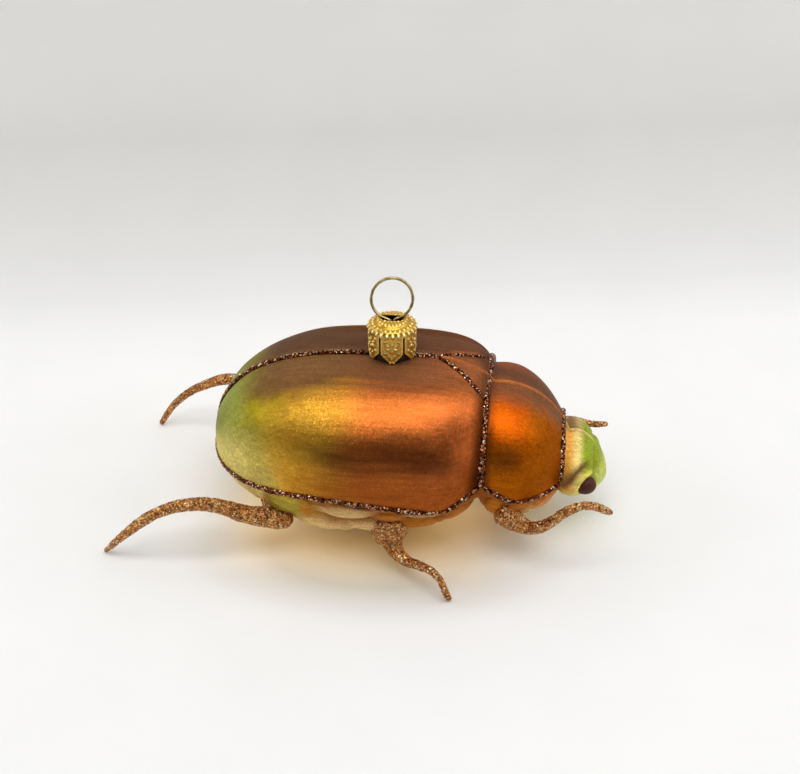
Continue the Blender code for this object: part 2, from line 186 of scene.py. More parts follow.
FRONT_LEFT = (
    (61.1, 17.3, 15.0, 1.2),
    (58.7, 18.2, 14.1, 1.6),
    (56.3, 19.0, 13.6, 1.8),
    (53.7, 20.2, 13.4, 1.9),
    (51.6, 21.0, 13.0, 2.1),
    (49.3, 21.4, 12.3, 2.2),
    (47.2, 21.2, 11.5, 2.4),
    (44.9, 20.4, 10.7, 2.7),
    (42.7, 19.4, 10.2, 3.1),
) + FRONT_RIGHT[9:]
LEGS = {
    "front_left": FRONT_LEFT,
    "front_right": FRONT_RIGHT,
    "middle_left": MIDDLE,
    "middle_right": MIDDLE,
    "rear_left": REAR_LEFT,
    "rear_right": REAR_RIGHT,
}

# Paint, as screen colours from 0 to 255
SCREEN_PAINT = {
    "tail_green": (150, 164, 74),
    "olive": (150, 140, 30),
    "lime": (244, 230, 138),
    "gold": (226, 172, 58),
    "orange": (208, 116, 53),
    "russet": (208, 110, 56),
    "amber": (144, 76, 26),
    "glow": (214, 132, 48),
    "spot": (214, 132, 28),
    "brown": (88, 48, 24),
    "umber": (120, 82, 56),
    # Painted shade of the far side
    "far_side_shade": (88, 58, 40),
    "moss": (196, 184, 70),
    "tangerine": (220, 100, 8),
    "honey": (176, 94, 4),
    "apricot": (255, 196, 92),
    # Painted highlight on the eyes' lids
    "lid_highlight": (255, 240, 120),
    "cream": (255, 232, 146),
    "pale_green": (226, 234, 130),
    "leaf": (150, 172, 40),
    "pearl": (255, 224, 158),
    "tan": (222, 180, 128),
}

# Size of the coarse glitter's grains in the materials
GLITTER_GRAIN = 0.36

# Camera of the photograph, in millimetres in the modelling frame
CAMERA_ELEVATION, CAMERA_AZIMUTH = 34.0, 5.4
CAMERA_AIM = (4.75, 51.19, 0.0)
CAMERA_HEIGHT = 199.23
FOCAL_PIXELS, IMAGE_WIDTH, SENSOR_WIDTH = 1239.67, 800, 36.0

# White paper sweep, in metres. The shades go with height as a share of SHADE_HEIGHT.
SWEEP_START, SWEEP_BEND, SWEEP_TURN = 0.07, 0.2, math.radians(10)
SWEEP_REACH, SWEEP_HEIGHT = 4.0, 1.4
SHADE_HEIGHT = 0.25
WALL_SHADES = (
    (0.0, (1, 1, 1)),
    (0.011, (0.89, 0.89, 0.89)),
    (0.028, (0.83, 0.83, 0.825)),
    (0.05, (0.8, 0.795, 0.78)),
    (0.11, (0.745, 0.735, 0.715)),
    (0.14, (0.775, 0.765, 0.745)),
    (0.2, (0.81, 0.8, 0.785)),
)
# Painted amber shadow on the floor under the body, for its shadow and the light through the glass: the
# middle's x and y, half length and half width in millimetres
AMBER_SHADOW = (3.0, -21.0, 52.0, 25.0)
AMBER_STOPS = (
    (0.0, (1, 1, 1)),
    (0.05, (0.92, 0.91, 0.89)),
    (0.3, (0.7, 0.67, 0.59)),
    (0.6, (0.72, 0.67, 0.54)),
)

# Lamps: name, place, what it is aimed at, size in metres, watts and colour
WHITE, AMBER_LIGHT = (1, 1, 1), (1.0, 0.66, 0.28)
LAMPS = (
    ("overhead", (0.05, -0.235, 0.75), (0, 0, 0), (0.8, 0.52), 4.5, WHITE),
    ("fill_left", (-0.6, 0.03, 0.3), (0, 0, 0), (0.5, 0.4), 1.4, WHITE),
    ("fill_right", (0.6, 0.03, 0.42), (0, 0, 0), (0.5, 0.5), 1.5, WHITE),
    ("belly_glow", (0.0, -0.012, 0.006), (0.0, -0.012, 0.0), (0.06, 0.03), 0.0026, AMBER_LIGHT),
)
SKY_COLOUR, SKY_STRENGTH = (1.0, 0.97, 0.93, 1.0), 0.05


# Small helpers

def place(points):
    """Points in millimetres in the modelling frame, as metres in the frame."""
    return (np.asarray(points, float) - np.array((CENTRE_X, 0.0, 0.0))) * MM


def srgb(red, green, blue):
    """Linear colour from the 0 to 255 values of a screen colour."""
    values = np.array((red, green, blue)) / 255
    return np.where(values <= 0.04045, values / 12.92, ((values + 0.055) / 1.055) ** 2.4)


PAINT = {name: srgb(*screen_colour) for name, screen_colour in SCREEN_PAINT.items()}


def rgba(colour):
    return (*[float(value) for value in colour], 1.0)


def smooth(low, high, values):
    """0 at low and 1 at high, eased at both ends. It falls where low is above high."""
    share = np.clip((values - low) / (high - low), 0, 1)
    return share * share * (3 - 2 * share)


def bump(values, middle, width):
    """Bell curve: 1 at the middle, and about a third one width away."""
    return np.exp(-(((values - middle) / width) ** 2))


def eased_values(first, last, count):
    """Values from first to last that are closer together near both."""
    return first + (last - first) * (1 - np.cos(np.pi * np.arange(count + 1) / count)) / 2


def unit(vectors):
    return vectors / np.linalg.norm(vectors, axis=-1, keepdims=True)


def circle(count):
    """Angles all round, evenly spaced."""
    return np.linspace(0, math.tau, count + 1)[:-1]


def seed_shift(seed):
    return Vector((seed * 7.3, seed * 3.1, seed * 5.7))


def noise_field(points, size, seed=0.0):
    """Smooth noise from -1 to 1 at points in millimetres, with bumps of about that size."""
    shift = seed_shift(seed)
    values = [noise.noise(Vector(point) / size + shift) for point in points.reshape(-1, 3)]
    return np.array(values).reshape(points.shape[:-1])


def grain_field(points, size, seed=0.0):
    """Height from 0 to 1 of small flat grains of about that size."""
    shift = seed_shift(seed)
    values = []
    for point in points.reshape(-1, 3):
        centre = noise.voronoi(Vector(point) / size + shift)[1][0]
        values.append(0.5 + 0.5 * noise.cell(centre * 3.7))
    return np.array(values).reshape(points.shape[:-1])


def new_mesh(name, points, faces):
    mesh = bpy.data.meshes.new(name)
    mesh.from_pydata([tuple(point) for point in points], [], faces)
    mesh.shade_smooth()
    return mesh


def new_object(name, data):
    added = bpy.data.objects.new(name, data)
    bpy.context.scene.collection.objects.link(added)
    return added


def mesh_from_grid(name, grid, ends=None):
    """Mesh from rows of points whose last column joins the first. The two points in ends close
    the first and the last row."""
    rows, columns = grid.shape[:2]
    points = grid.reshape(-1, 3)
    faces = []
    for row in range(rows - 1):
        for column in range(columns):
            beside = (column + 1) % columns
            here, ahead = row * columns, (row + 1) * columns
            faces.append((here + column, here + beside, ahead + beside, ahead + column))
    if ends is not None:
        first, last = len(points), len(points) + 1
        points = np.concatenate([points, ends])
        last_row = (rows - 1) * columns
        for column in range(columns):
            beside = (column + 1) % columns
            faces.append((first, beside, column))
            faces.append((last, last_row + column, last_row + beside))
    return new_mesh(name, place(points), faces)


def add_attribute(mesh, name, values):
    """Stores one number or colour for each point. A grid's two end points take its first and
    last value."""
    values = np.asarray(values, float)
    is_colour = values.ndim == 3
    flat = values.reshape(-1, 3) if is_colour else values.reshape(-1)
    spare = len(mesh.vertices) - len(flat)
    if spare:
        flat = np.concatenate([flat, [flat[0], flat[-1]][:spare]])
    if is_colour:
        attribute = mesh.attributes.new(name, "FLOAT_COLOR", "POINT")
        attribute.data.foreach_set("color", np.hstack([flat, np.ones((len(flat), 1))]).ravel())
    else:
        attribute = mesh.attributes.new(name, "FLOAT", "POINT")
        attribute.data.foreach_set("value", flat)


def add_piece(name, mesh, material, slot_name, *nodes):
    """Puts a mesh in the scene as a piece that stands for the named nodes of the solid model."""
    piece = new_object(name, mesh)
    mesh.materials.append(material)
    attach(piece, "root")
    if nodes:
        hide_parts(*nodes)
    return piece


def smooth_path(points, step):
    """Points about a step apart on a smooth curve through the given ones (Catmull-Rom)."""
    points = np.asarray(points, float)
    path = []
    for i in range(len(points) - 1):
        a, b = points[max(i - 1, 0)], points[i]
        c, d = points[i + 1], points[min(i + 2, len(points) - 1)]
        count = max(1, round(float(np.linalg.norm((c - b)[:3])) / step))
        for t in np.arange(count) / count:
            bend = (2 * a - 5 * b + 4 * c - d) * t**2 + (3 * b - a - 3 * c + d) * t**3
            path.append(b + 0.5 * ((c - a) * t + bend))
    path.append(points[-1])
    return np.array(path)


def run_along(path):
    """Length of the path up to each of its points."""
    return np.concatenate([[0], np.cumsum(np.linalg.norm(np.diff(path, axis=0), axis=1))])


# Materials

class NodeKit:
    """Short calls to fill a new material's node tree."""

    def __init__(self, name):
        self.material = bpy.data.materials.new(name)
        self.material.use_nodes = True
        self.tree = self.material.node_tree
        self.shader = self.tree.nodes["Principled BSDF"]

    def add(self, kind, **inputs):
        node = self.tree.nodes.new("ShaderNode" + kind)
        for name, value in inputs.items():
            self.feed(node, name.replace("_", " "), value)
        return node

    def feed(self, node, name, value):
        socket = node.inputs[name]
        if isinstance(value, bpy.types.NodeSocket):
            self.tree.links.new(value, socket)
        else:
            socket.default_value = value

    def math(self, operation, first, second=0.0, kind="Math"):
        node = self.add(kind)
        node.operation = operation
        self.feed(node, 0, first)
        self.feed(node, 1, second)
        return node.outputs[0]

    def vector(self, operation, first, second=(0, 0, 0)):
        return self.math(operation, first, second, "VectorMath")

    def position(self, scale=(1, 1, 1)):
        """Place on the object in millimetres, squeezed by scale along each axis."""
        place_on_object = self.add("TexCoord").outputs["Object"]
        return self.vector("MULTIPLY", place_on_object, [value / MM for value in scale])

    def noise(self, size, detail=2.0, scale=(1, 1, 1), roughness=0.5):
        place_on_object = self.position(scale)
        node = self.add("TexNoise", Vector=place_on_object, Scale=1 / size, Detail=detail)
        self.feed(node, "Roughness", roughness)
        return node.outputs["Fac"]

    def cells(self, size):
        node = self.add("TexVoronoi", Vector=self.position(), Scale=1 / size)
        return node.outputs["Color"], node.outputs["Distance"]

    def ramp(self, value, stops):
        node = self.add("ValToRGB", Fac=value)
        elements = node.color_ramp.elements
        while len(elements) < len(stops):
            elements.new(1.0)
        for element, (at, colour) in zip(elements, stops):
            element.position = at
            element.color = rgba(colour)
        return node.outputs["Color"]

    def shade(self, colour, share, value, *stops):
        """The colour, multiplied by that share by a ramp along the value."""
        node = self.add("Mix")
        node.data_type = "RGBA"
        node.blend_type = "MULTIPLY"
        for i, source in ((0, share), (6, colour), (7, self.ramp(value, stops))):
            self.feed(node, i, source)
        return node.outputs[2]

    def attribute(self, name, colour=False):
        node = self.add("Attribute")
        node.attribute_name = name
        return node.outputs["Color" if colour else "Fac"]

    def spread(self, value, low, high):
        """The value's range from 0 to 1, spread out from low to high."""
        return self.add("MapRange", Value=value, To_Min=low, To_Max=high).outputs[0]

    def tilted_normal(self, cell_colour, strength):
        """The surface normal, tipped at random in each cell so that single flakes catch the light."""
        normal = self.add("NewGeometry").outputs["Normal"]
        tip = self.vector("SUBTRACT", cell_colour, (0.5, 0.5, 0.5))
        tip = self.vector("MULTIPLY", tip, (strength, strength, strength))
        return self.vector("NORMALIZE", self.vector("ADD", normal, tip))

    def bumped(self, height, depth, strength, normal=None):
        node = self.add("Bump", Height=height, Distance=depth * MM, Strength=strength)
        if normal is not None:
            self.feed(node, "Normal", normal)
        return node.outputs["Normal"]

    def finish(self, **inputs):
        for name, value in inputs.items():
            self.feed(self.shader, name.replace("_", " "), value)
        return self.material


def lacquer_material():
    """Satin metallic lacquer: painted colours, brush streaks and fine flakes."""
    kit = NodeKit("painted_glass_lacquer")
    paint = kit.attribute("paint", colour=True)
    lustre = kit.attribute("lustre")
    streak = kit.noise(0.8, detail=4.0, scale=(0.05, 1, 1), roughness=0.65)
    cloud = kit.noise(6.0, detail=3.0, scale=(0.4, 1, 1))
    flake = kit.cells(0.24)[0]
    flake_light = kit.add("SeparateColor", Color=flake).outputs["Red"]
    light = (0.7, (1.2, 1.18, 1.12))
    colour = kit.shade(paint, 0.7, streak, (0.3, (0.6, 0.56, 0.52)), light)
    colour = kit.shade(colour, 0.4, cloud, (0.3, (0.75, 0.7, 0.66)), light)
    pale_flake, bright_flake = (0.9, (1.05, 1.05, 1.05)), (1.0, (1.6, 1.5, 1.35))
    colour = kit.shade(colour, 0.8, flake_light, (0.0, (0.8, 0.78, 0.76)), pale_flake, bright_flake)
    roughness = kit.math("ADD", kit.spread(lustre, 0.55, 0.455), kit.spread(streak, -0.07, 0.07))
    tipped = kit.tilted_normal(flake, 0.13)
    normal = kit.bumped(kit.noise(0.45, detail=2.0, scale=(0.07, 1, 1)), 0.02, 0.3, tipped)
    return kit.finish(
        Base_Color=colour,
        Metallic=kit.spread(lustre, 0.0, 1.0),
        Roughness=roughness,
        Normal=normal,
        Specular_IOR_Level=0.25,
        Specular_Tint=(0.6, 0.42, 0.3, 1.0),
    )


def glitter_material(name, stops, roughness, tilt, least_metal=0.55, coat=0.15):
    """Glitter in clear paste: each grain has its own colour and tilt."""
    kit = NodeKit(name)
    grain_colour, distance = kit.cells(GLITTER_GRAIN)
    parts = kit.add("SeparateColor", Color=grain_colour)
    colour = kit.ramp(parts.outputs["Red"], stops)
    patch = kit.noise(GLITTER_GRAIN * 6)
    colour = kit.shade(colour, 0.7, patch, (0.3, (0.7, 0.64, 0.6)), (0.7, (1.2, 1.18, 1.15)))
    colour = kit.shade(colour, 0.8, distance, (0.3, (1.0, 1.0, 1.0)), (0.75, (0.45, 0.38, 0.34)))
    tilted = kit.tilted_normal(grain_colour, tilt)
    return kit.finish(
        Base_Color=colour,
        Metallic=kit.spread(parts.outputs["Green"], least_metal, 1.0),
        Roughness=kit.spread(parts.outputs["Blue"], roughness - 0.1, roughness + 0.15),
        Normal=kit.bumped(distance, GLITTER_GRAIN * 0.5, 0.6, tilted),
        Coat_Weight=coat,
        Coat_Roughness=0.2,
    )


def copper_glitter_material():
    stops = (
        (0.0, srgb(112, 56, 20)),
        (0.3, srgb(186, 116, 52)),
        (0.6, srgb(220, 150, 76)),
        (0.85, srgb(248, 190, 106)),
        (0.95, srgb(255, 240, 190)),
    )
    return glitter_material("copper_glitter_paste", stops, 0.34, 1.05)


def dark_glitter_material():
    stops = (
        (0.0, srgb(60, 22, 8)),
        (0.45, srgb(104, 50, 24)),
        (0.66, srgb(160, 92, 52)),
        (0.82, srgb(226, 160, 108)),
        (0.9, srgb(255, 236, 206)),
    )
    return glitter_material("dark_glitter_glue", stops, 0.3, 1.3, 0.9, 0.0)


def gold_material():
    """Embossed foil: a painted highlight on the raised parts and painted shade in the hollows, under soft
    stains.
    """
    kit = NodeKit("embossed_gold_foil")
    relief = kit.attribute("relief")
    stain = kit.noise(1.4, detail=4.0)
    hollow_shade, middle, crest = srgb(206, 160, 64), srgb(242, 204, 104), srgb(255, 250, 190)
    # Colour by the embossing's height: painted highlight on the raised parts, painted shade in the
    # hollows.
    colour = kit.ramp(relief, ((0.0, hollow_shade), (0.4, middle), (1.0, crest)))
    colour = kit.shade(colour, 0.5, stain, (0.35, (0.8, 0.76, 0.7)), (0.7, (1.08, 1.08, 1.06)))
    return kit.finish(
        Base_Color=colour,
        Metallic=0.8,
        Roughness=kit.spread(stain, 0.24, 0.38),
        Normal=kit.bumped(kit.noise(0.22, detail=3.0), 0.05, 0.5),
    )


def stained_material(name, size, stops, roughness, pit_size, **inputs):
    """Soft stains in the colours of the stops, over fine pits."""
    kit = NodeKit(name)
    stain = kit.noise(size, detail=4.0)
    return kit.finish(
        Base_Color=kit.ramp(stain, stops),
        Roughness=kit.spread(stain, *roughness),
        Normal=kit.bumped(kit.noise(pit_size, detail=3.0), 0.03, 0.5),
        **inputs,
    )


def wire_material():
    stops = ((0.3, srgb(134, 112, 66)), (0.55, srgb(186, 164, 112)), (0.75, srgb(216, 200, 154)))
    return stained_material("dull_brass_wire", 1.3, stops, (0.42, 0.26), 0.16, Metallic=1.0)


def eye_material():
    stops = ((0.3, srgb(58, 22, 10)), (0.7, srgb(92, 42, 24)))
    return stained_material("eye_lacquer", 1.2, stops, (0.42, 0.6), 0.25, Specular_IOR_Level=0.25)


def neck_shade_material():
    kit = NodeKit("shaded_neck_glass")
    cloud = kit.noise(1.5, detail=3.0)
    # Dark brown: painted shade under the cap's tongues.
    colour = kit.ramp(cloud, ((0.3, srgb(40, 24, 16)), (0.7, srgb(70, 44, 28))))
    return kit.finish(Base_Color=colour, Metallic=0.5, Roughness=kit.spread(cloud, 0.3, 0.45))


# Glass body

def section_height(x):
    """Height of the section axis, which droops toward the head."""
    return RIM_Z - HEAD_DROOP * np.clip((x - WAIST_X) / (NOSE_X - WAIST_X), 0, None) ** 2


def swelling(x, bulb, direction):
    """How far a bulb reaches at x in a direction: its greatest reach, where that is, and the
    powers that shape its tail and nose ends."""
    greatest, middle, tail_power, nose_power = bulb[direction]
    end = np.where(x < middle, bulb["tail"], bulb["nose"])
    power = np.where(x < middle, tail_power, nose_power)
    share = np.clip((x - middle) / (end - middle), 0, 1)
    return greatest * np.clip(1 - share**power, 0, 1) ** (1 / power)


def reach(x, angle):
    """Distance from the section axis to the glass, for arrays of x and angle."""
    across, along = np.abs(np.cos(angle)), np.abs(np.sin(angle))
    upper = np.sin(angle) > -1e-6
    below = smooth(0, math.sin(RIM_SOFTNESS), -np.sin(angle))
    total = 0.0
    for bulb in BULBS:
        width = np.maximum(swelling(x, bulb, "width"), 0.001)
        height = np.maximum(np.where(upper, swelling(x, bulb, "rise"), swelling(x, bulb, "drop")), 0.001)
        width = width - bulb["rim"] * below * np.minimum(1.0, width / 10)
        power = np.where(upper, bulb["squareness"][0], bulb["squareness"][1])
        total = total + ((across / width) ** power + (along / height) ** power) ** (-BLEND_POWER / power)
    return total ** (1 / BLEND_POWER)


def surface_points(x, angle):
    distance = reach(x, angle)
    return np.stack([
        x + WAIST_SKEW * distance * np.cos(angle) * bump(x, WAIST_X, 8),
        distance * np.cos(angle),
        section_height(x) + distance * np.sin(angle),
    ], axis=-1)


def surface_normals(x, angle):
    before, after = np.maximum(TAIL_X + 0.001, x - 0.05), np.minimum(NOSE_X - 0.001, x + 0.05)
    lengthwise = surface_points(after, angle) - surface_points(before, angle)
    around = surface_points(x, angle + 0.01) - surface_points(x, angle - 0.01)
    return unit(np.cross(around, lengthwise))


def body_grid():
    """Arrays of x and section angle, finer along the back's middle line and the rims."""
    abdomen, collar, head = BODY_STEPS
    x = np.concatenate([
        eased_values(TAIL_X, WAIST_X, abdomen)[1:],
        eased_values(WAIST_X, NECK_X, collar)[1:],
        eased_values(NECK_X, NOSE_X, head)[1:-1],
    ])
    fine = np.linspace(0, math.tau, 6001)
    weight = 1 + 5 * bump(fine, math.pi / 2, 0.05)
    for rim in (0, math.pi, math.tau):
        weight = weight + 2 * bump(fine, rim, 0.12)
    total = np.concatenate([[0], np.cumsum((weight[1:] + weight[:-1]) / 2)])
    angle = np.interp(np.linspace(0, total[-1], BODY_AROUND + 1)[:-1], total, fine)
    return np.meshgrid(x, angle, indexing="ij")


def joint_y(x):
    """Where the mould's joint runs, a little to the right of the middle."""
    return (SEAM_Y - 0.1 - 1.8 * bump(x, 27, 5)) * smooth(50, 30, x)


def crest_shape(x, y):
    """Thin raised line that the mould's joint leaves, from in front of the cap to the lip."""
    ends = smooth(CAP_X + 4, CAP_X + 7, x) * smooth(57.0, 55.0, x)
    return bump(y - joint_y(x), 0, 0.42) * ends


def shield_reach(x):
    """Half width of the shield plate, which is 0 at its apex."""
    return SHIELD_HALF_WIDTH * (x - SHIELD_APEX_X) / (SHIELD_END_X - SHIELD_APEX_X)


def beside_shield(x, y):
    """Distance outside the painted edge of the shield plate."""
    return np.abs(y - joint_y(x)) - shield_reach(x)


def back_relief(x, y, upper):
    """Wing seam, mould joint and shield plate on the upper side."""
    seam = -0.35 * bump(y, SEAM_Y, 0.8) * smooth(SHIELD_APEX_X + 0.5, SHIELD_APEX_X - 0.5, x)
    beside = beside_shield(x, y)
    on_shield = smooth(SHIELD_APEX_X - 0.5, SHIELD_APEX_X + 0.5, x)
    on_shield = on_shield * smooth(WAIST_X + 0.5, WAIST_X - 0.5, x)
    shield = (0.3 * smooth(0.6, -0.6, beside) - 0.35 * bump(beside, 0, 0.55)) * on_shield
    return (seam + 0.32 * crest_shape(x, y) + shield) * upper


def lobe_share(x, z, lobe):
    """0 at a lobe's middle and 1 at its edge."""
    middle_x, middle_z, half_length, half_height = lobe[:4]
    return np.sqrt(((x - middle_x) / half_length) ** 2 + ((z - middle_z) / half_height) ** 2)


def belly_relief(points, below):
    """Segment seams, plump lobes under the rim, a keel and the seats of the legs."""
    x, y, z = np.moveaxis(points, -1, 0)
    relief = 0.0
    for seam in BELLY_SEAMS:
        relief = relief - 0.45 * bump(x - 0.012 * y * y, seam, 0.7)
    relief = relief * smooth(23, 19, np.abs(y)) * smooth(9, 6, z)
    for lobe in BELLY_LOBES:
        share = lobe_share(x, z, lobe)
        relief = relief + lobe[4] * np.exp(-(share**4)) - 0.35 * bump(share, 1.25, 0.16)
    keel = 0.7 * bump(y, 0, 1.6) * smooth(-3, 1, x) * smooth(28, 24, x)
    groove = -0.5 * bump(np.abs(y), 8.5, 0.8) * smooth(-3, 0, x) * smooth(27, 24, x)
    plates = -0.5 * bump(x, 17, 0.8) * smooth(20, 15, np.abs(y))
    total = relief + keel + groove + plates
    for seat_x, seat_y, seat_z, size in LEG_SEATS:
        distance = np.sqrt((x - seat_x) ** 2 + (np.abs(y) - seat_y) ** 2 + (z - seat_z) ** 2)
        total = total + 0.9 * bump(distance, 0, size) - 0.3 * bump(distance, size * 1.25, 0.7)
    return total * below


def from_eyes(points):
    """Distance from the nearer eye's centre, and how far up and back from it, along 45 degrees."""
    x, y, z = np.moveaxis(points, -1, 0)
    ahead, beside, above = x - EYE_CENTRE[0], np.abs(y) - EYE_CENTRE[1], z - EYE_CENTRE[2]
    distance = np.sqrt(ahead**2 + beside**2 + above**2)
    return distance, (above - ahead) / math.sqrt(2)


def lip_groove(x, y):
    """Groove across the face behind the lip, one on each side of the middle."""
    return bump(x, 56.6, 0.36) * smooth(9.0, 8.0, np.abs(y)) * smooth(0.8, 2.4, np.abs(y))


def head_relief(points, upper):
    """Lids and creases behind the eyes, the groove behind the lip, and the lip and its dents."""
    x, y, _ = np.moveaxis(points, -1, 0)
    on_head = smooth(NECK_X + 0.8, NECK_X + 2.5, x)
    distance, up_and_back = from_eyes(points)
    lid = 0.9 * bump(distance, 3.2, 0.55) * smooth(0.6, 2.0, up_and_back)
    crease = -0.7 * bump(distance, 4.8, 0.9) * smooth(2.2, 4.0, up_and_back)
    crease = crease - 0.25 * bump(distance, 2.7, 0.3)
    groove = -0.46 * lip_groove(x, y) * upper
    lip = 0.12 * bump(x, 57.5, 0.6) * upper * smooth(9.0, 6.0, np.abs(y))
    dent = -0.2 * bump(x, 58.6, 0.5) * bump(np.abs(y), 3.2, 1.0) * upper
    return (lid + crease + groove + lip + dent) * on_head


def margin_angle(x):
    """How far above the rim the hand-laid line along the margin runs, as an angle."""
    wing = 0.08 * bump(x, -7, 17) - 0.03 * bump(x, 20, 5) + 0.1 * smooth(22, 30, x)
    collar = 0.11 * smooth(38, 31, x) - 0.02 * bump(x, 41, 4)
    return np.where(x < WAIST_X, wing, collar)


def blend(share, first, second):
    """Colours first, changed by a share from 0 to 1 of the way to second."""
    return first + (np.asarray(second) - first) * np.asarray(share)[..., None]


def rise_of(angle):
    """Angle above the rim on the nearer side, in degrees, negative on the belly."""
    return np.degrees(np.arctan2(np.sin(angle), np.abs(np.cos(angle))))


# The paint functions below take x along the body, along, which is x with a wandering edge, and
# band, which is the angle above the rim in degrees, also with a wandering edge.

def dust_edge(x, band):
    """The band that the brown dusting of the back starts from, lower toward the tail."""
    return band + 5 * smooth(0, -14, x)


def far_side(y):
    """1 on the beetle's left, which gets painted shade, and 0 on its right."""
    return smooth(-1.5, 2.5, y)


def wing_paint(plain, x, y, along, band):
    """Green tail, gold and orange flank, brown dusting on the back, and painted shade, reflection and
    highlight.
    """
    wing = plain * PAINT["tail_green"]
    wing = blend(smooth(-33, -22, along), wing, PAINT["olive"])
    wing = blend(smooth(-23, -13, along), wing, PAINT["gold"])
    wing = blend(smooth(-10, 6, along), wing, PAINT["orange"])
    wing = blend(0.7 * smooth(10, 27, along), wing, PAINT["russet"])
    # Amber toward the bottom of the flank: painted shade, for the shaded floor under the body that the
    # lacquer reflects there.
    wing = blend(0.75 * smooth(27, 13, band) * smooth(-20, -4, along), wing, PAINT["amber"])
    wing = blend(0.9 * smooth(52, 14, band) * smooth(-12, -27, along), wing, PAINT["lime"])
    # Brown band along the flank: partly brush-streaked paint and partly a painted reflection of the dark
    # room in front.
    streak = bump(band, 27, 8) * smooth(-18, -2, along) * smooth(30, 22, along)
    wing = blend(0.8 * streak, wing, PAINT["brown"])
    past_tail = smooth(-32, -19, along)
    dusting = smooth(55, 70, dust_edge(x, band)) * past_tail * (0.9 - 0.3 * smooth(8, 26, x))
    wing = blend(dusting, wing, PAINT["umber"])
    # Darker on the far side: painted shade.
    wing = blend(0.75 * far_side(y) * past_tail * smooth(20, 60, band), wing, PAINT["far_side_shade"])
    wing = blend(0.8 * smooth(27, 30, x), wing, PAINT["brown"])
    # Orange along the lit edge beside the shield: a painted highlight.
    lit_edge = bump(beside_shield(x, y), 1.3, 0.5) * smooth(20, 22, x) * smooth(28.5, 27, x)
    return blend(0.6 * lit_edge, wing, PAINT["orange"])


def collar_paint(plain, x, y, band):
    """Tangerine above and honey below, a brown patch of painted reflection, and brown dusting on the back.
    """
    honey_share = np.maximum(smooth(50, 28, band), smooth(37, 43, x))
    collar = blend(honey_share, plain * PAINT["tangerine"], PAINT["honey"])
    # Brown patch on the collar's flank: a painted reflection of the dark room in front.
    collar = blend(0.55 * bump(band, 28, 8) * bump(x, 35, 4), collar, PAINT["brown"])
    collar = blend(0.85 * smooth(62, 80, band), collar, PAINT["umber"])
    # Darker on the far side: painted shade.
    collar = blend(0.6 * far_side(y) * smooth(20, 60, band), collar, PAINT["far_side_shade"])
    return blend(0.7 * smooth(33.5, 31, x), collar, PAINT["brown"])


def head_paint(plain, points, wander, upper):
    """Apricot and cream behind, green face, painted shade in the groove behind the lip, and pale green
    chin and lip.
    """
    x, y, z = np.moveaxis(points, -1, 0)
    head = blend(smooth(50.4, 52.0, x), plain * PAINT["apricot"], PAINT["cream"])
    head = blend(smooth(52.3, 54.3, x + 0.4 * wander), head, PAINT["leaf"])
    head = blend(0.85 * smooth(-1.6, 0.0, y) * smooth(55.0, 51.0, x), head, PAINT["umber"])
    # Olive in the groove behind the lip: painted shade.
    head = blend(0.75 * lip_groove(x, y) * upper, head, PAINT["olive"])
    head = blend(0.7 * smooth(20.0, 16.5, z) * smooth(55.5, 58.0, x), head, PAINT["pale_green"])
    return blend(0.8 * smooth(16.0, 12.5, z), head, PAINT["pale_green"])


def belly_paint(plain, points, wander):
    """Amber ground, each lobe in its own paint, and a pale underside and tail."""
    x, _, z = np.moveaxis(points, -1, 0)
    belly = blend(0.5 + 0.4 * wander, plain * PAINT["amber"], PAINT["glow"])
    for lobe in BELLY_LOBES:
        belly = blend(0.9 * np.exp(-(lobe_share(x, z, lobe) ** 4)), belly, PAINT[lobe[5]])
    belly = blend(0.9 * smooth(12.0, 10.4, z + 0.5 * wander), belly, PAINT["pearl"])
    return blend(0.9 * smooth(-18.5, -21.5, x), belly, PAINT["cream"])


def paint_colours(points, x, angle, upper, below):
    """Sprayed colours of the glass, and how metallic the lacquer is."""
    y = points[..., 1]
    wander = noise_field(points, 9.0, 2.0)
    brushed = noise_field(points * np.array((0.12, 1, 1)), 2.0, 4.0)
    along = x + 3 * wander
    band = rise_of(angle) + 4 * brushed + 2 * wander
    plain = np.ones(points.shape)

    wing = wing_paint(plain, x, y, along, band)
    colour = blend(smooth(WAIST_X - 0.3, WAIST_X + 0.3, x), wing, collar_paint(plain, x, y, band))
    colour = blend(below, colour, belly_paint(plain, points, wander))
    head = head_paint(plain, points, wander, upper)
    colour = blend(smooth(NECK_X - 0.2, NECK_X + 0.2, x), colour, head)
    # Orange on the body and cream on the head along the mould's raised line: a painted highlight.
    mould_line_highlight = np.where((x < NECK_X)[..., None], PAINT["orange"], PAINT["cream"])
    colour = blend(0.8 * upper * crest_shape(x, y), colour, mould_line_highlight)
    # Painted shade in the crease above and behind each eye, and a painted highlight on the lid between it
    # and the eye.
    distance, up_and_back = from_eyes(points)
    shade = bump(distance, 4.9, 1.1) * smooth(2.2, 4.0, up_and_back)
    colour = blend(0.95 * shade, colour, PAINT["umber"])
    colour = blend(bump(distance, 3.1, 0.75) * smooth(0.4, 1.6, up_and_back), colour, PAINT["lid_highlight"])

    lustre = smooth(NECK_X + 0.2, NECK_X - 0.2, x) * (1 - 0.3 * smooth(WAIST_X, WAIST_X + 1, x))
    lustre = lustre * (0.3 + 0.7 * smooth(-30, -17, along))
    lustre = lustre * (1 - 0.75 * smooth(58, 74, dust_edge(x, band)))
    lustre = lustre * (1 - below) + 0.12
    return colour, np.clip(lustre, 0, 1)


